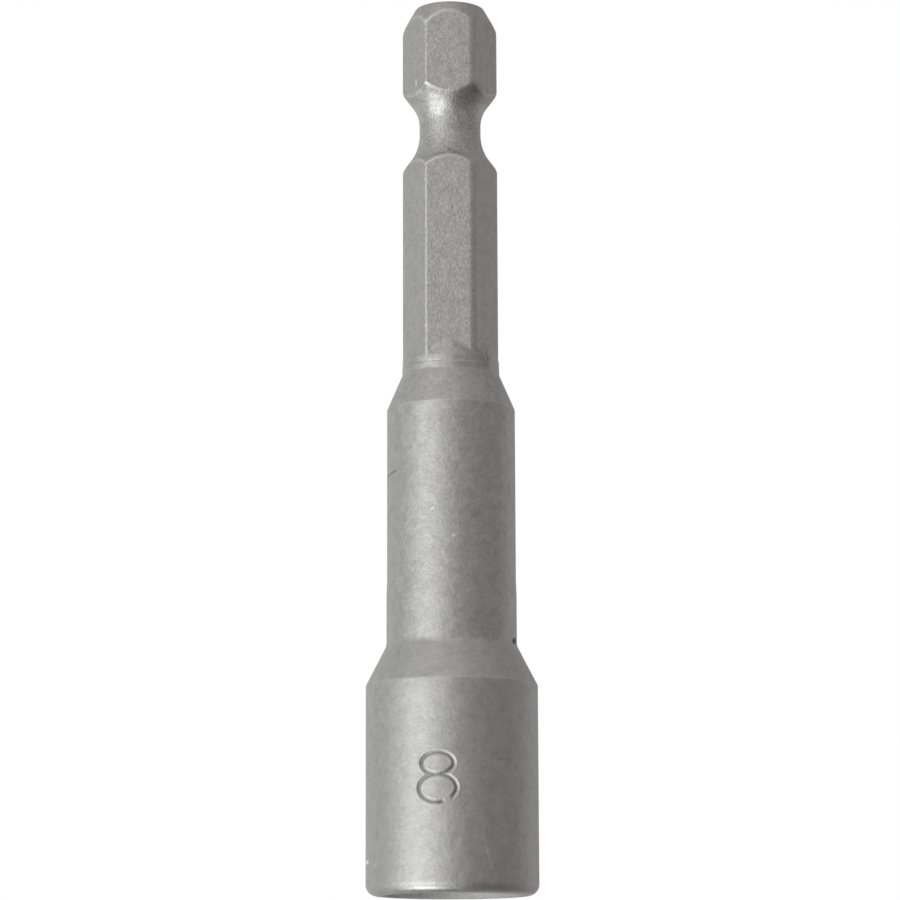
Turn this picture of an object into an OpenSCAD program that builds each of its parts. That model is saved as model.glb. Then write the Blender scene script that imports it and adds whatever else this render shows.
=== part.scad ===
// Magnetic nut setter: a hexagonal drive shank with a ball groove, a round body
// and a hexagonal socket with a magnet in its floor.
// The axis is Z. The socket's mouth is at z = 0 and the shank's end is at the top.
// One flat of the shank and one flat of the socket face -Y.

/* [Whole tool] */
// Overall length, from the socket's mouth to the end of the shank
overall_l = 66; // [60:1:150]

/* [Shank] */
// Width across the flats of the hexagonal shank
shank_af = 6.35; // [6.2:0.05:7]
// Width across the turned corners of the shank
shank_ac = 7.05; // [6.85:0.05:7.4]
// Length of the shank, from its end to the neck
shank_l = 27; // [20:0.5:32]
// Length of the cone in which the flats run out above the neck
runout_l = 1; // [0.4:0.1:3]
// Diameter of the flat face at the shank's end
end_face_d = 5.15; // [4:0.05:6]
// Angle between the nose cone and the axis
nose_angle = 29; // [15:1:45]
// Radius that rounds the nose cone into the shank's corners
nose_round_r = 2.4; // [0.5:0.1:3]

/* [Ball groove] */
// Distance from the shank's end to the middle of the groove
groove_from_end = 9.45; // [8.5:0.05:12]
// Diameter at the bottom of the groove
groove_d = 4.55; // [4:0.05:5.5]
// Width of the groove's straight floor
groove_floor_w = 0.9; // [0.2:0.1:1.5]
// Radius of the groove's arcs
groove_arc_r = 2.7; // [2:0.1:3.5]
// Angle between the groove's flanks and the axis
groove_flank_angle = 37; // [30:1:50]

/* [Neck and shoulder] */
// Diameter of the round neck under the shank
neck_d = 7.1; // [7.1:0.05:8.2]
// Length of the neck
neck_l = 1; // [0.6:0.1:4]
// Length of the cone from the neck to the body
shoulder_l = 2.6; // [1.8:0.1:6]
// Radius of the fillet between the neck and the shoulder cone
neck_fillet_r = 2; // [0.5:0.1:3]

/* [Body] */
// Diameter of the round body
body_d = 9.4; // [8.6:0.1:11]
// Radius of the edge between the shoulder cone and the body
body_edge_r = 0.3; // [0.1:0.05:1]
// Radius of the fillet at the body's foot
foot_fillet_r = 1; // [0.3:0.1:2]
// Length of the cone from the body to the socket
flare_l = 2.9; // [2:0.1:6]

/* [Socket] */
// Outer diameter of the socket
socket_d = 12.5; // [12:0.1:16]
// Length of the socket's outer cylinder, from the mouth
socket_l = 15.1; // [15:0.1:24]
// Radius of the edge between the flare and the socket
socket_edge_r = 0.3; // [0.1:0.05:1]
// Radius of the outer edge of the mouth
mouth_edge_r = 0.8; // [0.2:0.1:1]

/* [Hexagonal recess] */
// Width across the flats of the nut that the recess fits
nut_af = 8; // [7:0.5:8.5]
// Clearance across the flats between the nut and the recess
nut_clearance = 0.1; // [0.05:0.05:0.3]
// Depth of the recess, from the mouth to its floor
recess_depth = 7; // [5.5:0.1:8]
// How far the lead-in cone reaches past the recess's corners
lead_in_margin = 0.27; // [0.1:0.01:0.5]
// Angle between the lead-in cone and the axis
lead_in_angle = 45; // [30:1:60]

/* [Magnet and its sleeve] */
// Diameter of the magnet
magnet_d = 6; // [4:0.1:6.4]
// Length of the magnet
magnet_l = 5.5; // [3:0.1:6]
// Chamfer on the magnet's edges
magnet_chamfer = 0.2; // [0.1:0.05:0.4]
// Radial gap between the magnet and the sleeve
magnet_gap = 0.02; // [0.01:0.01:0.05]
// How far the magnet's face stands out of the sleeve
magnet_proud = 0.2; // [0:0.05:0.5]
// Wall of the sleeve
sleeve_wall = 0.5; // [0.3:0.05:0.6]
// Thickness of the sleeve's closed end
sleeve_floor = 0.5; // [0.3:0.05:1]
// How far the sleeve's rim stands out of the recess's floor
sleeve_proud = 0.3; // [0:0.05:0.5]
// Radial gap between the sleeve and its pocket
sleeve_gap = 0.02; // [0.01:0.01:0.05]
// Full angle of the drilled point behind the pocket
drill_point_angle = 118; // [90:1:140]

/* [Hidden] */
$fn = 96;
// Overlap that keeps cuts clear of the faces they open
cut = 1;

shank_foot_z = overall_l - shank_l;
shoulder_top_z = shank_foot_z - neck_l;
body_top_z = shoulder_top_z - shoulder_l;
flare_foot_z = socket_l;
body_foot_z = flare_foot_z + flare_l;
groove_z = overall_l - groove_from_end;

recess_af = nut_af + nut_clearance;
recess_corner_r = recess_af / 2 / cos(30);
lead_in_r = recess_corner_r + lead_in_margin;
lead_in_depth = (lead_in_r - recess_af / 2) / tan(lead_in_angle);

sleeve_bore_r = magnet_d / 2 + magnet_gap;
sleeve_r = sleeve_bore_r + sleeve_wall;
pocket_r = sleeve_r + sleeve_gap;
sleeve_rim_z = recess_depth - sleeve_proud;
magnet_face_z = sleeve_rim_z - magnet_proud;
sleeve_bore_end_z = magnet_face_z + magnet_l;
pocket_end_z = sleeve_bore_end_z + sleeve_floor;
drill_point_l = pocket_r / tan(drill_point_angle / 2);

// Corner geometry of an outline: each corner is [radius, height, fillet]
function place(corner) = [corner[0], corner[1]];
function unit(v) = v / norm(v);
function before(list, i) = place(list[(i + len(list) - 1) % len(list)]);
function after(list, i) = place(list[(i + 1) % len(list)]);
function to_before(list, i) = unit(before(list, i) - place(list[i]));
function to_after(list, i) = unit(after(list, i) - place(list[i]));
function half_angle(list, i) = acos(to_before(list, i) * to_after(list, i)) / 2;
function tangent_l(list, i) = list[i][2] / tan(half_angle(list, i));
function fillet_centre(list, i) =
    place(list[i])
    + unit(to_before(list, i) + to_after(list, i)) * list[i][2] / sin(half_angle(list, i));
// A corner of an outline that runs anticlockwise is convex when the path turns left
function is_convex(list, i) = cross(to_before(list, i), to_after(list, i)) < 0;
function corner_points(list, i) =
    list[i][2] == 0
        ? [place(list[i])]
        : [place(list[i]) + to_before(list, i) * tangent_l(list, i),
           place(list[i]) + to_after(list, i) * tangent_l(list, i)];

// A flat outline, anticlockwise, whose corners are rounded by true arcs
module rounded_outline(list) {
    difference() {
        union() {
            polygon([for (i = [0 : len(list) - 1]) each corner_points(list, i)]);
            for (i = [0 : len(list) - 1])
                if (list[i][2] > 0 && is_convex(list, i))
                    translate(fillet_centre(list, i)) circle(r = list[i][2]);
        }
        for (i = [0 : len(list) - 1])
            if (list[i][2] > 0 && !is_convex(list, i))
                translate(fillet_centre(list, i)) circle(r = list[i][2]);
    }
}

// A hexagonal bar along Z with flats facing -Y and +Y
module hex_bar(af, h) {
    cylinder(r = af / 2 / cos(30), h = h, $fn = 6);
}

// Everything that is turned round below the shank, up to the cone that ends the flats
module turned_body() {
    runout_slope = (neck_d - shank_af) / 2 / runout_l;
    // The cone goes on inside the bar, so that it meets each flat in an arc
    inside_r = shank_af / 2 - runout_slope * cut;
    inside_z = shank_foot_z + runout_l + cut;
    rotate_extrude()
        rounded_outline([
            [0, 0, 0],
            [socket_d / 2, 0, mouth_edge_r],
            [socket_d / 2, flare_foot_z, socket_edge_r],
            [body_d / 2, body_foot_z, foot_fillet_r],
            [body_d / 2, body_top_z, body_edge_r],
            [neck_d / 2, shoulder_top_z, neck_fillet_r],
            [neck_d / 2, shank_foot_z, 0],
            [inside_r, inside_z, 0],
            [0, inside_z, 0]
        ]);
}

// The turned envelope of the shank: its corner diameter, nose rounding and end face
module shank_envelope() {
    nose_l = (shank_ac - end_face_d) / 2 / tan(nose_angle);
    rotate_extrude()
        intersection() {
            rounded_outline([
                [0, shank_foot_z, 0],
                [shank_ac / 2, shank_foot_z, 0],
                [shank_ac / 2, overall_l - nose_l, nose_round_r],
                [end_face_d / 2, overall_l, 0],
                [0, overall_l, 0]
            ]);
            translate([0, shank_foot_z]) square([shank_ac, shank_l]);
        }
}

// The ring that the ball groove takes out of the shank
module groove_ring() {
    floor_r = groove_d / 2;
    arc_r = floor_r + groove_arc_r * (1 - cos(groove_flank_angle));
    arc_z = groove_floor_w / 2 + groove_arc_r * sin(groove_flank_angle);
    outer_r = shank_ac / 2 + cut;
    outer_z = arc_z + (outer_r - arc_r) / tan(groove_flank_angle);
    translate([0, 0, groove_z])
        rotate_extrude()
            union() {
                polygon([
                    [floor_r, -groove_floor_w / 2],
                    [arc_r, -arc_z],
                    [outer_r, -outer_z],
                    [outer_r, outer_z],
                    [arc_r, arc_z],
                    [floor_r, groove_floor_w / 2]
                ]);
                for (side = [-1, 1])
                    translate([floor_r + groove_arc_r, side * groove_floor_w / 2])
                        circle(r = groove_arc_r);
            }
}

module shank() {
    difference() {
        intersection() {
            shank_envelope();
            translate([0, 0, shank_foot_z]) hex_bar(shank_af, shank_l);
        }
        groove_ring();
    }
}

// Hexagonal recess, its lead-in cone, the magnet's pocket and the drilled point
module socket_hollow() {
    translate([0, 0, -cut]) hex_bar(recess_af, recess_depth + cut);
    translate([0, 0, -cut])
        cylinder(
            h = lead_in_depth + cut,
            r1 = lead_in_r + cut * tan(lead_in_angle),
            r2 = recess_af / 2
        );
    translate([0, 0, recess_depth - cut])
        cylinder(r = pocket_r, h = pocket_end_z - recess_depth + cut);
    translate([0, 0, pocket_end_z])
        cylinder(h = drill_point_l, r1 = pocket_r, r2 = 0);
}

module driver_body() {
    color("darkgray")
        difference() {
            union() {
                turned_body();
                shank();
            }
            socket_hollow();
        }
}

// Thin cup that holds the magnet clear of the steel wall
module magnet_sleeve() {
    color("goldenrod")
        difference() {
            translate([0, 0, sleeve_rim_z])
                cylinder(r = sleeve_r, h = pocket_end_z - sleeve_rim_z);
            translate([0, 0, sleeve_rim_z - cut])
                cylinder(r = sleeve_bore_r, h = sleeve_bore_end_z - sleeve_rim_z + cut);
        }
}

module magnet() {
    color("silver")
        translate([0, 0, magnet_face_z])
            rotate_extrude()
                polygon([
                    [0, 0],
                    [magnet_d / 2 - magnet_chamfer, 0],
                    [magnet_d / 2, magnet_chamfer],
                    [magnet_d / 2, magnet_l - magnet_chamfer],
                    [magnet_d / 2 - magnet_chamfer, magnet_l],
                    [0, magnet_l]
                ]);
}

driver_body();
magnet_sleeve();
magnet();
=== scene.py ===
"""Magnetic nut setter: the finished surface of the steel body, its magnet and sleeve,
a pale floor, soft lamps and the camera. Geometry is worked out in millimetres and
written to the meshes in metres."""

import math
from collections import namedtuple

import bmesh
import bpy
import numpy as np
from mathutils import Matrix, Vector


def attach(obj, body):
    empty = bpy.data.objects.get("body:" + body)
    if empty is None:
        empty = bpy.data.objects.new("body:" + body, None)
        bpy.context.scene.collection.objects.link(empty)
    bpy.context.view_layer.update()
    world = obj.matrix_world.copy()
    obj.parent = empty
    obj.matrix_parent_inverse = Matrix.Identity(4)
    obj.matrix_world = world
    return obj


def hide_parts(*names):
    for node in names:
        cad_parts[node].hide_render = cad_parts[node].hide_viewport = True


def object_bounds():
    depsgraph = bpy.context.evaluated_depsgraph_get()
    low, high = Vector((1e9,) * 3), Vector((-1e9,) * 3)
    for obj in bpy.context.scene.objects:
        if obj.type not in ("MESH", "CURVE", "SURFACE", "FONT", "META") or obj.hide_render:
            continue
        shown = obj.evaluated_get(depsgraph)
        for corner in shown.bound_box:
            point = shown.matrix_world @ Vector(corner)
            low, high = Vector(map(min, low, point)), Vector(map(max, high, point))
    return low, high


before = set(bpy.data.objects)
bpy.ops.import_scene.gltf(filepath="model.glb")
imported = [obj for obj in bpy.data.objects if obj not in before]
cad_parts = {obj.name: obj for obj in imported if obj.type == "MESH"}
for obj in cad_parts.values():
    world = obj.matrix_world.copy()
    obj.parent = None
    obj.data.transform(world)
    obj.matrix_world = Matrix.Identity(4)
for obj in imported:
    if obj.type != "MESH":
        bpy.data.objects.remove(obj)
cad_low, cad_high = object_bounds()

MM = 0.001

# Main sizes of the steel body in millimetres. The overall length and the socket's radius
# come from the frame, and angles are in degrees.
OVERALL_L = cad_high.z / MM
SOCKET_R = cad_high.x / MM
# Stamping raises a low burr round the number, which stays within the socket's diameter
BURR_H = 0.012
WALL_R = SOCKET_R - BURR_H
BODY_R = 4.7
NECK_R = 3.55
SHANK_L = 27
SHANK_FOOT_Z = OVERALL_L - SHANK_L
SHOULDER_L = 3.6
BODY_TOP_Z = SHANK_FOOT_Z - SHOULDER_L
FLARE_FOOT_Z = 15.1
FLARE_L = 2.9
BODY_FOOT_Z = FLARE_FOOT_Z + FLARE_L
# The body widens a little just above its foot, where the flare was forged
SWELL_R = 4.74
SWELL_Z = 21.6
SWELL_L = 1.2
# The neck ends in a low ring, from which the shoulder falls away
NECK_L = 0.5
NECK_RING_L = 0.48
NECK_RING_TOP_Z = SHANK_FOOT_Z - NECK_L
NECK_RING_FOOT_Z = NECK_RING_TOP_Z - NECK_RING_L
NECK_RING_H = 0.025
NECK_CREASE_R = 0.12
BODY_EDGE_R = 0.14
FOOT_FILLET_R = 1.0
SOCKET_EDGE_R = 0.3

# Hexagonal shank, with corner radii anticlockwise from +X as seen from its end
SHANK_APOTHEM = 3.175
SHANK_CORNER_R = (0.99, 0.8, 0.75, 0.776, 0.24, 0.65)
# Blasting leaves each flat a little crowned
FLAT_CROWN = 0.03
# The turned outline meets the hexagon below this radius
SHANK_TIP_R = 3.7
# The bar's hexagon sits a little behind the tool's axis, and its nose a little in front
SHANK_SHIFT = 0.08
NOSE_SHIFT = 0.1
RUNOUT_L = 1.0
END_FACE_R = 2.575
END_EDGE_R = 0.12
NOSE_ANGLE = 29
NOSE_ROUND_R = 1.0

# Ball groove
GROOVE_FROM_END = 9.45
GROOVE_Z = OVERALL_L - GROOVE_FROM_END
GROOVE_R = 2.275
GROOVE_FLOOR_HALF = 0.45
GROOVE_ARC_R = 2.7
GROOVE_LOWER_ARC_R = 3.6
GROOVE_FLANK_ANGLE = 37
# The groove and its flanks end within this of its middle
GROOVE_REACH = 2.9

# Mouth, hexagonal recess and the magnet's pocket
MOUTH_EDGE_R = 0.8
LEAD_IN_R = 4.947
LEAD_IN_EDGE_R = 0.06
RECESS_APOTHEM = 4.05
RECESS_CORNER_R = (0.25,) * 6
RECESS_DEPTH = 7.0
POCKET_R = 3.54
POCKET_END_Z = 12.5
DRILL_POINT_L = 2.13

# How far neighbouring surfaces blend where they meet, as blasting leaves them
CREASE = 0.12
RUNOUT_CREASE = 0.06

# Spacing of the mesh's rows in millimetres
FINE_STEP = 0.085
WALL_STEP = 0.35
ARC_STEPS_MIN = 3
RECESS_FLOOR_ROWS = 4
# Radius of the small flat cap that closes each end of the mesh
CAP_R = 0.35
# Columns on each side of a corner, within CORNER_REACH degrees of it, and on each half of
# the flat between two corners
CORNER_REACH = 8
CORNER_STEPS = 8
FLAT_STEPS = 9
# Rows and columns that a refined cell is cut into
REFINED = 5


def smooth_min(a, b, width):
    """The smaller of a and b, blended over width where they are nearly equal."""
    share = np.clip(0.5 + 0.5 * (b - a) / width, 0, 1)
    return b + (a - b) * share - width * share * (1 - share)


def smooth_max(a, b, width):
    """The larger of a and b, blended in the same way."""
    return -smooth_min(-a, -b, width)


def rounded_hexagon(angle, apothem, corner_radii):
    """Distance from the axis to a hexagon that has a rounded corner on +X."""
    angle = angle % 360
    turns = np.round(angle / 60)
    off = np.abs(np.radians(angle - 60 * turns))
    radius = np.array(corner_radii)[turns.astype(int) % 6]
    half = math.radians(30)
    centre = (apothem - radius) / math.cos(half)
    arc_end = np.arctan2(radius * math.sin(half), centre + radius * math.cos(half))
    on_arc = centre * np.cos(off) + np.sqrt(np.maximum(radius**2 - (centre * np.sin(off)) ** 2, 0))
    on_flat = apothem / np.cos(half - off)
    return np.where(off < arc_end, on_arc, on_flat)


def rounded_path(corners):
    """Points along a path of [radius, height, fillet, step] corners, each with the
    spacing of the points on the straight that leads to it."""
    places = [np.array(corner[:2], float) for corner in corners]
    points = [places[0]]
    for i in range(1, len(corners)):
        fillet, step = corners[i][2], corners[i][3]
        arc = []
        end = places[i]
        if fillet > 0:
            back = places[i - 1] - places[i]
            on = places[i + 1] - places[i]
            back, on = back / np.linalg.norm(back), on / np.linalg.norm(on)
            half = math.acos(float(back @ on)) / 2
            middle = (back + on) / np.linalg.norm(back + on)
            centre = places[i] + middle * fillet / math.sin(half)
            end = places[i] + back * fillet / math.tan(half)
            last = places[i] + on * fillet / math.tan(half)
            start_turn = math.atan2(end[1] - centre[1], end[0] - centre[0])
            turn = math.atan2(last[1] - centre[1], last[0] - centre[0]) - start_turn
            turn = (turn + math.pi) % (2 * math.pi) - math.pi
            count = max(ARC_STEPS_MIN, round(abs(turn) * fillet / FINE_STEP))
            turns = [start_turn + turn * k / count for k in range(1, count + 1)]
            arc = [centre + fillet * np.array([math.cos(t), math.sin(t)]) for t in turns]
        start = points[-1]
        count = max(1, round(float(np.linalg.norm(end - start)) / step))
        points += [start + (end - start) * k / count for k in range(1, count + 1)]
        points += arc
    return np.array(points)


def shank_path():
    """The turned outline of the shank, from its end face to the neck."""
    nose_l = (SHANK_TIP_R - END_FACE_R) / math.tan(math.radians(NOSE_ANGLE))
    flank = math.radians(GROOVE_FLANK_ANGLE)
    floor_corner = GROOVE_FLOOR_HALF + GROOVE_ARC_R * math.tan(flank / 2)
    groove_half = floor_corner + (SHANK_TIP_R - GROOVE_R) / math.tan(flank)
    return rounded_path([
        [CAP_R, OVERALL_L, 0, 0],
        [END_FACE_R, OVERALL_L, END_EDGE_R, WALL_STEP],
        [SHANK_TIP_R, OVERALL_L - nose_l, NOSE_ROUND_R, FINE_STEP],
        [SHANK_TIP_R, GROOVE_Z + groove_half, 0, WALL_STEP],
        [GROOVE_R, GROOVE_Z + floor_corner, GROOVE_ARC_R, FINE_STEP],
        [GROOVE_R, GROOVE_Z - floor_corner, GROOVE_LOWER_ARC_R, WALL_STEP],
        [SHANK_TIP_R, GROOVE_Z - groove_half, 0, FINE_STEP],
        [SHANK_TIP_R, SHANK_FOOT_Z + 2 * RUNOUT_L, 0, WALL_STEP],
        [SHANK_TIP_R, SHANK_FOOT_Z + FINE_STEP, 0, FINE_STEP],
    ])


def body_path():
    """The turned outline of the neck, body and socket, to the inner edge of the mouth."""
    return rounded_path([
        [NECK_R, SHANK_FOOT_Z, 0, 0],
        [NECK_R, NECK_RING_TOP_Z + NECK_RING_H, 0, FINE_STEP],
        [NECK_R + NECK_RING_H, NECK_RING_TOP_Z, 0, FINE_STEP],
        [NECK_R + NECK_RING_H, NECK_RING_FOOT_Z, NECK_CREASE_R, FINE_STEP],
        [BODY_R, BODY_TOP_Z, BODY_EDGE_R, 2 * FINE_STEP],
        [BODY_R, SWELL_Z + SWELL_L, 0, WALL_STEP],
        [SWELL_R, SWELL_Z, 0, WALL_STEP],
        [SWELL_R, BODY_FOOT_Z, FOOT_FILLET_R, WALL_STEP],
        [WALL_R, FLARE_FOOT_Z, SOCKET_EDGE_R, 2 * FINE_STEP],
        [WALL_R, 0, MOUTH_EDGE_R, WALL_STEP],
        [LEAD_IN_R, 0, LEAD_IN_EDGE_R, 2 * FINE_STEP],
        [LEAD_IN_R - 2 * LEAD_IN_EDGE_R, 2 * LEAD_IN_EDGE_R, 0, FINE_STEP],
    ])


def lead_in_path():
    """The cone inside the mouth, down to where the hexagon's flats cut it off."""
    first = 3 * LEAD_IN_EDGE_R
    last = LEAD_IN_R - RECESS_APOTHEM + FINE_STEP
    return rounded_path([
        [LEAD_IN_R - first, first, 0, 0],
        [LEAD_IN_R - last, last, 0, FINE_STEP],
    ])


def outline_rows():
    """Every row of the mesh, from the shank's end down the outside and up inside. A row
    has its turned radius, height, whether the shank's hexagon clips it, the radius of
    the cone where the flats run out, how far it follows the recess's hexagon, and
    whether it is inside the mouth."""
    rows = []
    runout_slope = (NECK_R - SHANK_APOTHEM) / RUNOUT_L
    for r, z in shank_path():
        rows.append((r, z, 1, NECK_R - runout_slope * (z - SHANK_FOOT_Z), 0, 0))
    for r, z in body_path():
        on_inner_edge = z < MOUTH_EDGE_R and r < LEAD_IN_R + LEAD_IN_EDGE_R
        rows.append((r, z, 0, r, 0, float(on_inner_edge)))
    for r, z in lead_in_path():
        rows.append((r, z, 0, 0, 1, 1))
    recess_top = rows[-1][1]
    wall_l = RECESS_DEPTH - recess_top
    wall_rows = round(wall_l / WALL_STEP / 2)
    for k in range(1, wall_rows + 1):
        rows.append((POCKET_R, recess_top + wall_l * k / wall_rows, 0, 0, 1, 1))
    for k in range(1, RECESS_FLOOR_ROWS + 1):
        rows.append((POCKET_R, RECESS_DEPTH, 0, 0, 1 - k / RECESS_FLOOR_ROWS, 1))
    rows.append((POCKET_R, POCKET_END_Z, 0, 0, 0, 1))
    cap_z = POCKET_END_Z + DRILL_POINT_L * (1 - CAP_R / POCKET_R)
    rows.append((CAP_R, cap_z, 0, 0, 0, 1))
    return np.array(rows)


def column_angles():
    """Angles of the mesh's columns, closer together at the hexagon's corners."""
    near = np.linspace(-CORNER_REACH, CORNER_REACH, 2 * CORNER_STEPS + 1)[:-1]
    far = np.linspace(CORNER_REACH, 60 - CORNER_REACH, 2 * FLAT_STEPS + 1)[:-1]
    return np.concatenate([60 * k + np.concatenate([near, far]) for k in range(6)])


# The socket's straight wall begins above the mouth's rounded edge, and what comes within
# WALL_MARGIN of its radius belongs to it
WALL_MARGIN = 0.01
WALL_FOOT_Z = 1.0

# The stamped number: two loops on the socket's wall, just left of the front. A loop has
# the height of its middle above the number's, its half width and its half height.
FRONT_ANGLE = 270
STAMP_TURN = 8.7
STAMP_ANGLE = FRONT_ANGLE - STAMP_TURN
STAMP_Z = 8.0
UPPER_LOOP = (1.02, 1.18, 0.766)
LOWER_LOOP = (-0.72, 1.38, 0.973)
# Steps towards the place on a loop that is nearest to a point
NEAREST_STEPS = 3
# The lower loop's stroke is broken at its lower right, between these degrees round the
# loop, and fades out towards the break over STAMP_FADE degrees
STAMP_GAP = (-64, -48)
STAMP_FADE = 14
STAMP_HALF_W = 0.165
STAMP_DEPTH = 0.11
# Share of the stroke's half width over which its side blends into the wall
STAMP_BLEND = 0.3
# Painted shade along the bottom of the strokes, as a share of the steel's colour
STAMP_PAINTED_SHADE = -0.45
STAMP_PAINTED_SHADE_W = 0.085
BURR_W = 0.06
# Cells are refined out to this distance from a stroke
STAMP_MARGIN = 0.1
STAMP_REACH = STAMP_HALF_W + 3 * BURR_W + STAMP_MARGIN

# Small marks from handling, and patches of painted shade, painted glints and a painted highlight,
# each along a line from one angle and height to another. Its depth is negative where it stands
# proud, and its tone is negative where it is darker.
Mark = namedtuple("Mark", "start_angle start_z end_angle end_z half_w depth tone")
MARKS = (
    Mark(341.4, 18.15, 347.6, 18.25, 0.199, 0.06, -1.6),
    Mark(188.5, 30.35, 212.5, 30.55, 0.07, 0.06, -0.5),
    # Painted glint on a tiny raised nick
    Mark(253.1, 27.42, 255.3, 27.48, 0.07, -0.01, 0.6),
    # Painted glint on a tiny raised nick
    Mark(273.0, 25.45, 273.4, 25.47, 0.09, -0.01, 0.7),
    Mark(231.7, 32.05, 232.1, 32.15, 0.06, 0.01, -0.35),
    Mark(221.4, 24.6, 221.8, 24.6, 0.06, 0.01, -0.35),
    # Painted glint on a tiny raised nick
    Mark(190.5, 2.3, 196.5, 2.36, 0.1, -0.01, 1.5),
    # Painted glint on a tiny raised nick
    Mark(208.5, 2.03, 210.0, 2.02, 0.06, -0.01, 0.55),
    Mark(291.7, 3.97, 294.0, 2.9, 0.1, -0.004, 0.16),
    Mark(294.0, 2.9, 297.3, 1.7, 0.1, -0.004, 0.16),
    Mark(302.8, 9.35, 311.6, 9.4, 0.13, 0.005, -0.15),
    # Painted shade at the end of the lower loop's stroke, by its break
    Mark(262.4, 6.24, 263.4, 6.28, 0.16, 0.01, -0.25),
    Mark(274.6, 50.0, 274.8, 50.2, 0.06, 0.02, -0.35),
    # Painted glint on a tiny raised nick
    Mark(261.2, 50.36, 261.6, 50.36, 0.05, -0.01, 0.5),
    # Painted glint on a tiny raised nick
    Mark(280.4, 49.1, 280.6, 49.4, 0.05, -0.01, 0.5),
    Mark(270.7, 54.6, 270.9, 54.7, 0.06, 0.02, -0.4),
    Mark(260.4, 63.44, 261.0, 63.44, 0.06, 0.02, -0.4),
    Mark(284.0, 63.3, 288.0, 62.6, 0.22, 0.0, -0.16),
    # Painted glint on a tiny raised dash
    Mark(218.5, 59.75, 218.6, 60.1, 0.07, -0.02, 1.3),
    # Painted shade in the hollow of the groove, to its right
    Mark(292.0, 58.9, 312.0, 59.3, 0.55, 0.0, -0.22),
    # Painted shade just under the groove's upper crest
    Mark(236.0, 59.3, 258.0, 58.95, 0.32, 0.0, -0.3),
    # Painted highlight along the ledge of the neck's ring
    Mark(240.0, 38.5, 259.0, 38.58, 0.06, 0.0, 0.12),
    # Painted shade in the hollow where the flats at the right run out
    Mark(308.0, 39.2, 317.0, 38.5, 0.32, 0.01, -0.24),
    # Painted shade along the arc where the flats run out into the neck
    Mark(276.0, 39.8, 298.0, 39.15, 0.2, 0.0, -0.14),
    Mark(319.5, 39.35, 320.5, 38.9, 0.12, 0.02, -0.35),
)
# Cells are refined out to this many half widths from a mark's line, unless the mark is
# so broad that it shows well enough on the plain mesh
MARK_REACH = 2.0
BROAD_MARK_W = 0.2


def on_socket_wall(radius, z):
    """Tells which places are on the socket's straight wall."""
    return (radius > WALL_R - WALL_MARGIN) & (z > WALL_FOOT_Z)


def stamp_distance(across, up):
    """Distance from a point on the socket's wall to the nearest stroke of the number, and
    how far that stroke has faded out there, from 0 to 1."""
    nearest = np.full(across.shape, np.inf)
    faded = np.zeros(across.shape)
    for loop in (UPPER_LOOP, LOWER_LOOP):
        fade = np.zeros(across.shape)
        middle, half_w, half_h = loop
        turn = np.arctan2((up - middle) / half_h, across / half_w)
        for _ in range(NEAREST_STEPS):
            dx, dy = across - half_w * np.cos(turn), up - middle - half_h * np.sin(turn)
            tx, ty = -half_w * np.sin(turn), half_h * np.cos(turn)
            turn = turn + (dx * tx + dy * ty) / (tx**2 + ty**2)
        if loop is LOWER_LOOP:
            first, last = np.radians(STAMP_GAP)
            turn = (turn + math.pi) % (2 * math.pi) - math.pi
            in_gap = (turn > first) & (turn < last)
            turn = np.where(in_gap, np.where(turn - first < last - turn, first, last), turn)
            fade_l = math.radians(STAMP_FADE)
            fade = np.interp(turn, [first - fade_l, first, last, last + fade_l], [0, 1, 1, 0])
        gone = np.hypot(across - half_w * np.cos(turn), up - middle - half_h * np.sin(turn))
        faded = np.where(gone < nearest, fade, faded)
        nearest = np.minimum(nearest, gone)
    return nearest, faded


def stamp_depth(angle, z):
    """How deep the number is stamped at each place, less the height of its burr."""
    across = WALL_R * np.radians(angle - STAMP_ANGLE)
    gone, faded = stamp_distance(across, z - STAMP_Z)
    cut = STAMP_DEPTH * (1 - smooth_min(gone / STAMP_HALF_W, np.ones_like(gone), STAMP_BLEND))
    burr = BURR_H * np.exp(-(((gone - STAMP_HALF_W - BURR_W) / BURR_W) ** 2))
    return (np.maximum(cut, 0) - burr) * (1 - faded)


def mark_distance(mark, radius, angle, z):
    """Distance along the surface from each place to a mark's line."""
    along = radius * math.radians(mark.end_angle - mark.start_angle)
    rise = mark.end_z - mark.start_z
    across = radius * np.radians(angle % 360 - mark.start_angle)
    up = z - mark.start_z
    share = np.clip((across * along + up * rise) / (along**2 + rise**2), 0, 1)
    return np.hypot(across - share * along, up - share * rise)


def marks_at(radius, angle, z):
    """Depth of the marks at each place, and how much they darken or lighten it."""
    gone, faded = stamp_distance(WALL_R * np.radians(angle % 360 - STAMP_ANGLE), z - STAMP_Z)
    # Painted shade along the bottom of the number's strokes, a little weaker towards the break
    painted_shade = np.exp(-((gone / STAMP_PAINTED_SHADE_W) ** 2)) * (1 - faded / 2)
    depth = np.zeros_like(radius)
    shade = STAMP_PAINTED_SHADE * painted_shade * on_socket_wall(radius, z)
    for mark in MARKS:
        share = np.exp(-((mark_distance(mark, radius, angle, z) / mark.half_w) ** 2))
        depth += mark.depth * share
        shade += mark.tone * share
    return depth, shade


def shank_surfaces(rows, angle):
    """Radius of the shank's turned outline and of its hexagon at each place."""
    turned, z = rows[:, 0], rows[:, 1]
    back = np.sin(np.radians(angle))
    turned = turned - NOSE_SHIFT * back * np.clip(z - GROOVE_Z - GROOVE_REACH, 0, 1)
    # Half the crown is added in the middle of a flat, and half is taken off at its sides
    from_middle = (angle % 60 - 30) / 30
    crown = FLAT_CROWN * (0.5 - from_middle**2)
    hexagon = rounded_hexagon(angle, SHANK_APOTHEM, SHANK_CORNER_R) + SHANK_SHIFT * back + crown
    return turned, hexagon


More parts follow.
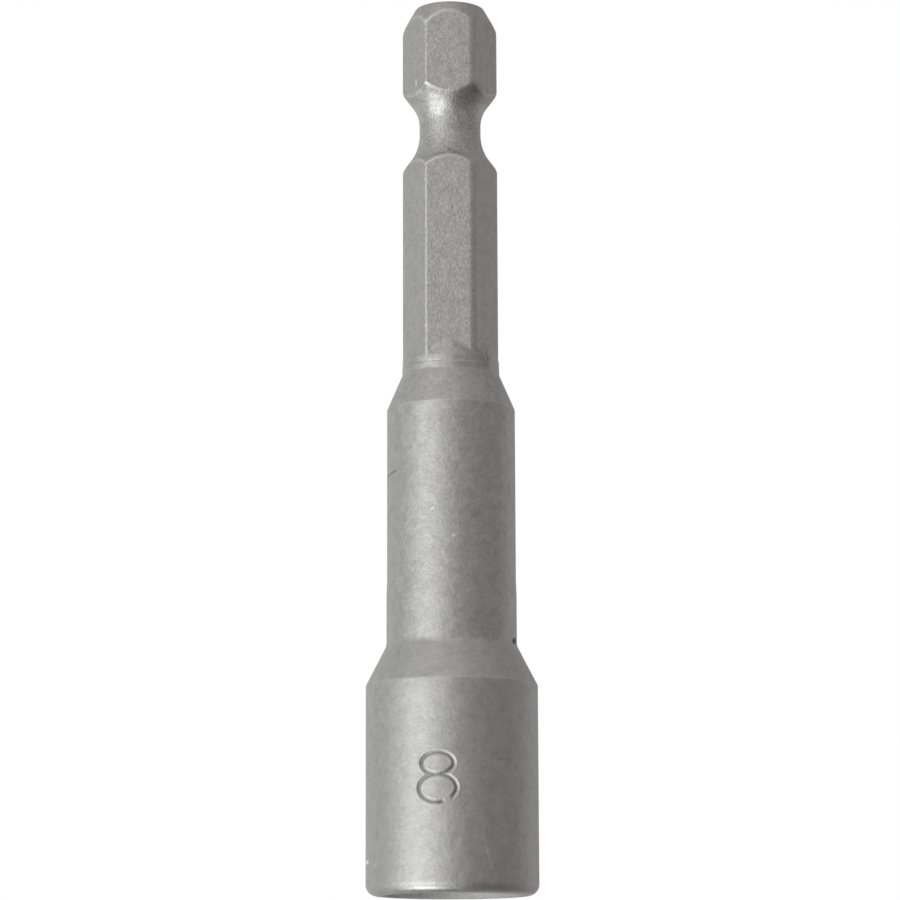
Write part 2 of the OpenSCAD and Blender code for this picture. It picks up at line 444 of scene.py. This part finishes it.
def skin(rows, angle):
    """Places on the body's surface in millimetres, for rows and column angles."""
    radius, z, clipped, cone, recess, inside = rows.T
    turned, hexagon = shank_surfaces(rows, angle)
    on_shank = smooth_max(smooth_min(turned, hexagon, CREASE), cone, RUNOUT_CREASE)
    radius = np.where(clipped > 0, on_shank, radius)
    recess_hexagon = rounded_hexagon(angle, RECESS_APOTHEM, RECESS_CORNER_R)
    in_recess = smooth_max(radius, recess_hexagon, CREASE)
    radius = recess * in_recess + (1 - recess) * radius
    on_wall = on_socket_wall(radius, z)
    stamped = np.zeros_like(radius)
    stamped[on_wall] = stamp_depth(angle[on_wall] % 360, z[on_wall])
    marked = marks_at(radius, angle, z)[0] * (inside == 0)
    radius = radius - stamped - marked
    turn = np.radians(angle)
    return np.stack([radius * np.cos(turn), radius * np.sin(turn), z], axis=1)


def cells_to_refine(rows, angles):
    """Tells which cells the stamped number or a mark crosses."""
    turned, z, inside = rows[:, 0], rows[:, 1], rows[:, 5]
    mid_z = (z[:-1] + z[1:]) / 2
    mid_radius = (turned[:-1] + turned[1:]) / 2
    outside = inside[:-1, None] == 0
    on_wall = on_socket_wall(turned, z)
    on_wall = (on_wall[:-1] & on_wall[1:])[:, None]
    mid_angle = (angles + np.append(angles[1:], angles[0] + 360)) / 2
    grid_z, grid_angle = np.meshgrid(mid_z, mid_angle % 360, indexing="ij")
    grid_radius = np.repeat(mid_radius[:, None], len(angles), axis=1)
    across = WALL_R * np.radians(grid_angle - STAMP_ANGLE)
    refine = on_wall & (stamp_distance(across, grid_z - STAMP_Z)[0] < STAMP_REACH)
    for mark in MARKS:
        if mark.half_w < BROAD_MARK_W:
            reach = MARK_REACH * mark.half_w + WALL_STEP / 2
            refine |= outside & (mark_distance(mark, grid_radius, grid_angle, grid_z) < reach)
    return refine


def body_mesh():
    """What a row holds and the angle at each vertex of the steel body, and its faces. A
    refined cell is cut into REFINED rows and columns, and its neighbours take the new
    points on their shared edges."""
    rows, angles = outline_rows(), column_angles()
    n_rows, n_cols = len(rows), len(angles)
    refine = cells_to_refine(rows, angles)
    n = REFINED
    index = {}
    keys = []

    def vertex(i, j):
        key = (i, j % (n_cols * n))
        if key not in index:
            index[key] = len(keys)
            keys.append(key)
        return index[key]

    faces = []
    for i in range(n_rows - 1):
        for j in range(n_cols):
            top, left = i * n, j * n
            if refine[i, j]:
                faces += [
                    [vertex(top + a, left + b), vertex(top + a + 1, left + b),
                     vertex(top + a + 1, left + b + 1), vertex(top + a, left + b + 1)]
                    for a in range(n) for b in range(n)
                ]
                continue
            ring = [vertex(top, left)]
            bottom, right = top + n, left + n
            finer_above = i > 0 and refine[i - 1, j]
            finer_below = i + 2 < n_rows and refine[i + 1, j]
            sides = (
                (refine[i, j - 1], [(top + k, left) for k in range(1, n)], (bottom, left)),
                (finer_below, [(bottom, left + k) for k in range(1, n)], (bottom, right)),
                (refine[i, (j + 1) % n_cols], [(bottom - k, right) for k in range(1, n)], (top, right)),
                (finer_above, [(top, right - k) for k in range(1, n)], None),
            )
            for finer, between, corner in sides:
                if finer:
                    ring += [vertex(*place) for place in between]
                if corner:
                    ring.append(vertex(*corner))
            faces.append(ring)
    faces.append([vertex(0, j * n) for j in range(n_cols)])
    faces.append([vertex((n_rows - 1) * n, j * n) for j in reversed(range(n_cols))])

    keys = np.array(keys, float) / n
    row_at = np.stack([np.interp(keys[:, 0], np.arange(n_rows), part) for part in rows.T], axis=1)
    wrapped = np.append(angles, angles[0] + 360)
    angle_at = np.interp(keys[:, 1], np.arange(n_cols + 1), wrapped)
    return row_at, angle_at, faces


# How strong the blasted grain and its lumps are on each part of the steel. The shank's
# flats go round from +X, and the one in front kept the roughest grain.
FLAT_GRAIN = (1.3, 1.3, 1.3, 1.3, 2.0, 1.1)
FLAT_LUMPS = (0.8, 0.8, 0.8, 0.8, 0.9, 0.8)
GROOVE_GRAIN = 2.6
GROOVE_LUMPS = 0.9
BODY_GRAIN = 0.85
SOCKET_GRAIN = 0.3
BODY_LUMPS = 1.0
SOCKET_LUMPS = 0.83
# How much each corner of the shank is rubbed and lightened as a painted highlight, from +X
CORNER_WEAR_AND_HIGHLIGHT = (0.4, 0.4, 0.4, 0.6, 1.5, 0.2)
# Rub and painted highlight reach a little further in at a corner, over CORNER_RUB_W degrees
CORNER_RUB = 0.06
CORNER_RUB_W = 4
# What stands for the distance to an edge where there is none
FAR_FROM_EDGE = 2.0
# The groove's upper flank is polished between these heights above its middle
GROOVE_POLISH_SPAN = (0.45, 0.9, 1.8, 2.3)
GROOVE_POLISH = 0.5


def surface_grain(rows, angle, by_flat, in_groove, on_body, on_socket):
    """Grain of the steel at each place, with a value of its own for each flat."""
    turned, z, clipped = rows[:, 0], rows[:, 1], rows[:, 2]
    flat = (angle // 60).astype(int) % 6
    grain = np.where(clipped > 0.5, np.array(by_flat)[flat], on_body)
    deep, shallow = SHANK_APOTHEM - CREASE, SHANK_APOTHEM + CREASE
    below_flats = (abs(z - GROOVE_Z) < GROOVE_REACH) & (turned < shallow)
    grain = np.where(below_flats, np.interp(turned, [deep, shallow], [in_groove, 1]), grain)
    return np.where(z < BODY_FOOT_Z, on_socket, grain)


def steel_fields(rows, angle, places):
    """What the steel's material reads at each vertex: how polished the steel is, how far
    an edge of the shank is and how much it is rubbed and lightened as a painted highlight, the
    strength of the grain and of the lumps, whether the place is inside the mouth, and how much
    a mark, painted shade or painted glint darkens or lightens it."""
    z, clipped, inside = rows[:, 1], rows[:, 2], rows[:, 5]
    radius = np.hypot(places[:, 0], places[:, 1])
    turned, hexagon = shank_surfaces(rows, angle)
    edge_gap = np.where(clipped > 0.5, turned - hexagon, FAR_FROM_EDGE)
    from_corner = (angle + 30) % 60 - 30
    edge_gap -= CORNER_RUB * np.exp(-((from_corner / CORNER_RUB_W) ** 2))
    corners = [60 * k for k in range(7)]
    up_flank = np.interp(z - GROOVE_Z, GROOVE_POLISH_SPAN, [0, 1, 1, 0])
    in_groove = np.clip((SHANK_APOTHEM - radius) / CREASE, 0, 1) * (z > BODY_TOP_Z)
    in_fillet = np.clip((MOUTH_EDGE_R - z) / MOUTH_EDGE_R, 0, 1) * (radius > WALL_R - MOUTH_EDGE_R)
    return {
        "polish": GROOVE_POLISH * up_flank * in_groove + in_fillet,
        "edge_gap": edge_gap,
        "wear_and_highlight": np.interp(angle % 360, corners, CORNER_WEAR_AND_HIGHLIGHT + CORNER_WEAR_AND_HIGHLIGHT[:1]),
        "grain": surface_grain(rows, angle, FLAT_GRAIN, GROOVE_GRAIN, BODY_GRAIN, SOCKET_GRAIN),
        "lumps": surface_grain(rows, angle, FLAT_LUMPS, GROOVE_LUMPS, BODY_LUMPS, SOCKET_LUMPS),
        "inside": inside,
        # Painted shade and painted glints are carried here together with the real marks
        "mark": marks_at(rows[:, 0], angle, z)[1] * (inside == 0),
    }


def steel_body():
    rows, angle, faces = body_mesh()
    places = skin(rows, angle)
    mesh = bpy.data.meshes.new("steel_body")
    mesh.from_pydata((places * MM).tolist(), [], faces)
    mesh.shade_smooth()
    mesh.update()
    for name, values in steel_fields(rows, angle, places).items():
        field = mesh.attributes.new(name, "FLOAT", "POINT")
        field.data.foreach_set("value", np.asarray(values, np.float32))
    piece = bpy.data.objects.new("steel_body", mesh)
    bpy.context.scene.collection.objects.link(piece)
    return piece


# A tint never gets darker than this share of its colour
DARKEST = 0.05
WHITE = (1, 1, 1, 1)


class Nodes:
    """Adds nodes to a material's tree. An input is a number, a colour or another
    node's output."""

    def __init__(self, name):
        self.material = bpy.data.materials.new(name)
        self.material.use_nodes = True
        self.tree = self.material.node_tree
        self.shader = self.tree.nodes["Principled BSDF"]
        self.output = self.tree.nodes["Material Output"]

    def add(self, kind, inputs=None, **settings):
        made = self.tree.nodes.new("ShaderNode" + kind)
        for key, value in settings.items():
            setattr(made, key, value)
        for key, value in (inputs or {}).items():
            self.put(made.inputs[key], value)
        return made

    def put(self, socket, value):
        if isinstance(value, bpy.types.NodeSocket):
            self.tree.links.new(value, socket)
        else:
            socket.default_value = value

    def calc(self, operation, *values):
        made = self.add("Math", dict(enumerate(values)), operation=operation)
        return made.outputs[0]

    def attribute(self, name):
        return self.add("Attribute", attribute_name=name).outputs["Fac"]

    def place(self, stretch):
        """Place on the object in millimetres, divided by a stretch along each axis."""
        coords = self.add("TexCoord").outputs["Object"]
        scale = [1 / MM / s for s in stretch]
        return self.add("Mapping", {"Vector": coords, "Scale": scale}).outputs[0]

    def noise(self, place, size, detail=2.0, fineness=0.6):
        """Noise from -1 to 1 whose lumps are size millimetres across, with detail halvings
        of their size and fineness as the strength of each next one."""
        inputs = {"Vector": place, "Scale": 1 / size, "Detail": detail, "Roughness": fineness}
        fac = self.add("TexNoise", inputs).outputs["Fac"]
        return self.calc("MULTIPLY_ADD", fac, 2, -1)

    def tint(self, colour, shade):
        """The colour made lighter or darker by a share."""
        factor = self.calc("MAXIMUM", self.calc("ADD", shade, 1), DARKEST)
        return self.add("VectorMath", {0: colour, "Scale": factor}, operation="SCALE").outputs[0]

    def bump(self, height, depth):
        """A bump whose height is in units of depth millimetres."""
        inputs = {"Height": height, "Distance": depth * MM, "Strength": 1.0}
        return self.add("Bump", inputs).outputs[0]


def total(nodes, *parts):
    """The sum of value times weight over the parts."""
    value, weight = parts[0]
    result = nodes.calc("MULTIPLY", value, weight)
    for value, weight in parts[1:]:
        result = nodes.calc("MULTIPLY_ADD", value, weight, result)
    return result


# The same along every axis
EVEN = (1, 1, 1)

# Steel finish: sizes in millimetres, shades as shares of the colour
STEEL = (0.457, 0.457, 0.454)
POLISHED_STEEL = (0.515, 0.515, 0.51)
STEEL_ROUGHNESS = 0.36
POLISHED_ROUGHNESS = 0.24
INSIDE_ROUGHNESS = 0.7
WORN_ROUGHNESS = 0.3
LUMP_ROUGHNESS = 0.05
FINE_GRAIN = 0.14
FINE_STRETCH = (1, 1, 1.5)
FINE_DETAIL = 1.5
LUMP = 0.8
LUMP_DETAIL = 2.7
LUMP_FINENESS = 0.9
GRAIN_SHADE = 0.2
LUMP_SHADE = 0.35
# Painted highlight: how much lighter the rubbed edges are made, as a share of the colour
WEAR_HIGHLIGHT = 0.3
# Painted light: the steel inside the mouth is made a little lighter, as a share of its colour
INSIDE_PAINTED_LIGHT = 0.1
BUMP_DEPTH = 0.004
LUMP_HEIGHT = 5.0
# Worn edges, lightened as a painted highlight: the widths of the bright lines, how much
# the turned edges are rubbed and lightened, and how strong the wear is on average and how
# much it comes and goes along an edge
EDGE_W = 0.08
RING_EDGE_W = 0.09
BODY_RING_WEAR_AND_HIGHLIGHT = 0.35
SOCKET_RING_WEAR_AND_HIGHLIGHT = 0.3
WEAR_PATCH = 3 * FINE_GRAIN
WEAR_LEVEL = 0.8
WEAR_UNEVENNESS = 0.8


def edge_wear_and_highlight(nodes):
    """How far the steel is rubbed and lightened as a painted highlight: along the shank's
    edges, and on the turned edges at the top of the body and of the socket."""
    def near(gap, width):
        away = nodes.calc("MULTIPLY", gap, 1 / width)
        squared = nodes.calc("MULTIPLY", away, away)
        return nodes.calc("EXPONENT", nodes.calc("MULTIPLY", squared, -1.0))

    on_edge = near(nodes.attribute("edge_gap"), EDGE_W)
    along_shank = nodes.calc("MULTIPLY", on_edge, nodes.attribute("wear_and_highlight"))
    coords = nodes.add("TexCoord").outputs["Object"]
    z = nodes.add("SeparateXYZ", {0: coords}).outputs["Z"]
    body_edge = near(nodes.calc("MULTIPLY_ADD", z, 1 / MM, -BODY_TOP_Z), RING_EDGE_W)
    socket_edge = near(nodes.calc("MULTIPLY_ADD", z, 1 / MM, -FLARE_FOOT_Z), RING_EDGE_W)
    return total(nodes, (along_shank, 1.0), (body_edge, BODY_RING_WEAR_AND_HIGHLIGHT),
                 (socket_edge, SOCKET_RING_WEAR_AND_HIGHLIGHT))


def blasted_steel():
    """Blasted steel with fine grain and shallow lumps, rubbed along its edges and lightened
    there as a painted highlight, polished in the groove and round the mouth, and dull inside,
    where painted light makes it a little lighter."""
    nodes = Nodes("blasted_steel_finish")
    polish = nodes.attribute("polish")
    inside = nodes.attribute("inside")
    fine = nodes.noise(nodes.place(FINE_STRETCH), FINE_GRAIN, FINE_DETAIL)
    lumps = nodes.noise(nodes.place(EVEN), LUMP, LUMP_DETAIL, LUMP_FINENESS)
    fine = nodes.calc("MULTIPLY", fine, nodes.attribute("grain"))
    lumps = nodes.calc("MULTIPLY", lumps, nodes.attribute("lumps"))
    rubbed = nodes.noise(nodes.place(EVEN), WEAR_PATCH)
    uneven = nodes.calc("MULTIPLY_ADD", rubbed, WEAR_UNEVENNESS, WEAR_LEVEL)
    # Painted highlight: the rubbed edges are made lighter in the colour below
    wear_and_highlight = nodes.calc("MULTIPLY", edge_wear_and_highlight(nodes), uneven)
    shade = total(nodes, (fine, GRAIN_SHADE), (lumps, LUMP_SHADE), (wear_and_highlight, WEAR_HIGHLIGHT),
                  (inside, INSIDE_PAINTED_LIGHT), (nodes.attribute("mark"), 1.0))
    mix = nodes.add("Mix", {"Factor": polish}, data_type="RGBA")
    nodes.put(mix.inputs["A"], nodes.tint(STEEL, shade))
    nodes.put(mix.inputs["B"], nodes.tint(POLISHED_STEEL, shade))
    nodes.put(nodes.shader.inputs["Base Color"], mix.outputs["Result"])
    softness = total(nodes, (polish, POLISHED_ROUGHNESS - STEEL_ROUGHNESS),
                     (inside, INSIDE_ROUGHNESS - STEEL_ROUGHNESS),
                     (wear_and_highlight, WORN_ROUGHNESS - STEEL_ROUGHNESS), (lumps, LUMP_ROUGHNESS))
    nodes.put(nodes.shader.inputs["Roughness"], nodes.calc("ADD", softness, STEEL_ROUGHNESS))
    height = total(nodes, (fine, 1.0), (lumps, LUMP_HEIGHT))
    nodes.put(nodes.shader.inputs["Normal"], nodes.bump(height, BUMP_DEPTH))
    nodes.shader.inputs["Metallic"].default_value = 1
    return nodes.material


# The metals in the mouth: colour, roughness and how much it varies, the size of the
# patches and how much they shade it, and the stretch, size, shade and depth of the lines
BRASS = {
    "colour": (0.62, 0.46, 0.22), "roughness": 0.38, "unevenness": 0.08,
    "patch": 0.8, "patch_shade": 0.18,
    "stretch": (8, 8, 1), "line": 0.1, "line_shade": 0.06, "line_depth": 0.003,
}
NICKEL = {
    "colour": (0.6, 0.6, 0.59), "roughness": 0.26, "unevenness": 0.07,
    "patch": 0.7, "patch_shade": 0.1,
    "stretch": (12, 1, 1), "line": 0.08, "line_shade": 0.05, "line_depth": 0.001,
}


def lined_metal(name, look):
    """A metal with soft patches and with fine lines along the axes it is stretched on."""
    nodes = Nodes(name)
    lines = nodes.noise(nodes.place(look["stretch"]), look["line"])
    patches = nodes.noise(nodes.place(EVEN), look["patch"])
    shade = total(nodes, (patches, look["patch_shade"]), (lines, look["line_shade"]))
    roughness = nodes.calc("MULTIPLY_ADD", patches, look["unevenness"], look["roughness"])
    nodes.put(nodes.shader.inputs["Base Color"], nodes.tint(look["colour"], shade))
    nodes.put(nodes.shader.inputs["Roughness"], roughness)
    nodes.put(nodes.shader.inputs["Normal"], nodes.bump(lines, look["line_depth"]))
    nodes.shader.inputs["Metallic"].default_value = 1
    return nodes.material


def sleeve_brass():
    """Dull turned brass, with fine rings and darker patches."""
    return lined_metal("sleeve_brass_finish", BRASS)


def magnet_plating():
    """Satin nickel plating with faint rubbed patches and fine scratches."""
    return lined_metal("magnet_plating_finish", NICKEL)


def finish(piece, material):
    piece.data.materials.clear()
    piece.data.materials.append(material)


body = steel_body()
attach(body, "root")
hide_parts("driver_body")
finish(body, blasted_steel())
finish(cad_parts["magnet_sleeve"], sleeve_brass())
finish(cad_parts["magnet"], magnet_plating())

# A light tent round the tool, with soft lamps behind its wall. Each lamp has its azimuth
# from the front, its elevation and its spread in degrees, its level and its tint. The
# tent and the floor are given in metres.
TENT_R = 0.6
TENT_Z = 0.033
TENT_RINGS = 40
TENT_SEGMENTS = 80
NEUTRAL = (1.0, 1.0, 1.0)
WARM = (1.03, 1.0, 0.95)
LAMPS = {
    "key": (-44.5, -24, 32, 1.85, NEUTRAL),
    "left": (-133.5, 5, 62, 0.63, NEUTRAL),
    "low_left": (-68, -66, 12, 3.2, NEUTRAL),
    "beneath": (-50, -68, 40, 0.16, NEUTRAL),
    "low_rear_left": (-120, -50, 30, 0.17, NEUTRAL),
    "overhead": (-35.5, 36, 46, 0.6, NEUTRAL),
    "right": (57.5, 42, 100, 0.35, WARM),
    "rear_right": (129.5, -4, 28, 0.25, WARM),
}


def direction(azimuth, elevation):
    """A unit vector; azimuth 0 is -Y and 90 is +X."""
    a, e = math.radians(azimuth), math.radians(elevation)
    return np.array([math.sin(a) * math.cos(e), -math.cos(a) * math.cos(e), math.sin(e)])


def tent_glow(toward):
    """Colour of the tent's wall in the given directions."""
    glow = np.zeros(toward.shape)
    for azimuth, elevation, spread, level, tint in LAMPS.values():
        cosine = toward @ direction(azimuth, elevation)
        share = np.exp((cosine - 1) / (1 - math.cos(math.radians(spread))))
        glow += level * share[:, None] * np.array(tint)
    return glow


def light_tent():
    mesh = bpy.data.meshes.new("light_tent")
    shell = bmesh.new()
    bmesh.ops.create_uvsphere(shell, u_segments=TENT_SEGMENTS, v_segments=TENT_RINGS, radius=TENT_R)
    shell.to_mesh(mesh)
    shell.free()
    toward = np.array([vertex.co[:] for vertex in mesh.vertices]) / TENT_R
    glow = np.concatenate([tent_glow(toward), np.ones((len(toward), 1))], axis=1)
    colours = mesh.attributes.new("glow", "FLOAT_COLOR", "POINT")
    colours.data.foreach_set("color", glow.ravel().astype(np.float32))
    nodes = Nodes("tent_cloth")
    colour = nodes.add("Attribute", attribute_name="glow").outputs["Color"]
    emission = nodes.add("Emission", {"Color": colour, "Strength": 1.0})
    nodes.put(nodes.output.inputs["Surface"], emission.outputs[0])
    mesh.materials.append(nodes.material)
    tent = bpy.data.objects.new("light_tent", mesh)
    tent.location.z = TENT_Z
    tent.visible_camera = False
    bpy.context.scene.collection.objects.link(tent)


# A pale floor that fades into the white background. It is open from beneath, because
# the camera looks up past its edge, and it lets the tent's low light through.
FLOOR_R = 0.56
FLOOR_SEGMENTS = 96
FLOOR_COLOUR = (0.82, 0.82, 0.81, 1)
FLOOR_ROUGHNESS = 0.9
FLOOR_LIFT = 0.38
FADE_START = 0.10
FADE_END = 0.45


def pale_floor():
    mesh = bpy.data.meshes.new("pale_floor")
    disc = bmesh.new()
    bmesh.ops.create_circle(disc, cap_ends=True, segments=FLOOR_SEGMENTS, radius=FLOOR_R)
    disc.to_mesh(mesh)
    disc.free()
    nodes = Nodes("pale_floor")
    nodes.shader.inputs["Base Color"].default_value = FLOOR_COLOUR
    nodes.shader.inputs["Roughness"].default_value = FLOOR_ROUGHNESS
    nodes.shader.inputs["Emission Color"].default_value = WHITE
    rays = nodes.add("LightPath")
    seen = rays.outputs["Is Camera Ray"]
    nodes.put(nodes.shader.inputs["Emission Strength"], nodes.calc("MULTIPLY", seen, FLOOR_LIFT))
    place = nodes.add("TexCoord").outputs["Object"]
    distance = nodes.add("VectorMath", {0: place}, operation="LENGTH").outputs["Value"]
    span = {"Value": distance, "From Min": FADE_START, "From Max": FADE_END}
    fade = nodes.add("MapRange", span, interpolation_type="SMOOTHSTEP").outputs[0]
    beneath = nodes.add("NewGeometry").outputs["Backfacing"]
    gone = nodes.calc("MULTIPLY", nodes.calc("MAXIMUM", fade, beneath), seen)
    clear = nodes.add("BsdfTransparent")
    mix = nodes.add("MixShader", {0: gone, 1: nodes.shader.outputs[0], 2: clear.outputs[0]})
    nodes.put(nodes.output.inputs["Surface"], mix.outputs[0])
    mesh.materials.append(nodes.material)
    floor = bpy.data.objects.new("pale_floor", mesh)
    floor.visible_glossy = False
    floor.visible_shadow = False
    bpy.context.scene.collection.objects.link(floor)


WORLD_GREY = 0.6


def white_world():
    """White to the camera and in reflections, and a soft grey to everything else."""
    world = bpy.data.worlds.new("white_world")
    bpy.context.scene.world = world
    world.use_nodes = True
    tree = world.node_tree
    background = tree.nodes["Background"]
    rays = tree.nodes.new("ShaderNodeLightPath")
    seen = rays.outputs["Is Camera Ray"]
    for name in ("Is Glossy Ray", "Is Transmission Ray"):
        either = tree.nodes.new("ShaderNodeMath")
        either.operation = "MAXIMUM"
        tree.links.new(seen, either.inputs[0])
        tree.links.new(rays.outputs[name], either.inputs[1])
        seen = either.outputs[0]
    level = tree.nodes.new("ShaderNodeMapRange")
    level.inputs["To Min"].default_value = WORLD_GREY
    tree.links.new(seen, level.inputs["Value"])
    background.inputs["Color"].default_value = WHITE
    tree.links.new(level.outputs[0], background.inputs["Strength"])


light_tent()
pale_floor()
white_world()
bpy.context.scene.view_settings.view_transform = "Standard"

# Camera, fitted to the photograph: it stands a little under the mouth and looks up.
# Places, lens and sensor in millimetres, turns in degrees, and the clipping in metres.
CAMERA_AZIMUTH = 0.9
CAMERA_DISTANCE = 239.1
CAMERA_Z = -10.95
CAMERA_TILT = 10.3
CAMERA_TURN = 0.019
CAMERA_ROLL = -0.18
CAMERA_LENS = 132.32
SENSOR_W = 36
CLIP_START = 0.01
CLIP_END = 10


def add_camera():
    data = bpy.data.cameras.new("camera")
    data.lens = CAMERA_LENS
    data.sensor_width = SENSOR_W
    data.clip_start = CLIP_START
    data.clip_end = CLIP_END
    camera = bpy.data.objects.new("camera", data)
    bpy.context.scene.collection.objects.link(camera)
    aim = Matrix.Rotation(math.radians(CAMERA_AZIMUTH), 4, "Z")
    place = aim @ Vector((0, -CAMERA_DISTANCE, CAMERA_Z))
    tilt = Matrix.Rotation(math.radians(90 + CAMERA_TILT), 4, "X")
    turn = Matrix.Rotation(math.radians(CAMERA_TURN), 4, "Z")
    roll = Matrix.Rotation(math.radians(CAMERA_ROLL), 4, "Z")
    camera.matrix_world = Matrix.Translation(place * MM) @ aim @ turn @ tilt @ roll
    bpy.context.scene.camera = camera


add_camera()
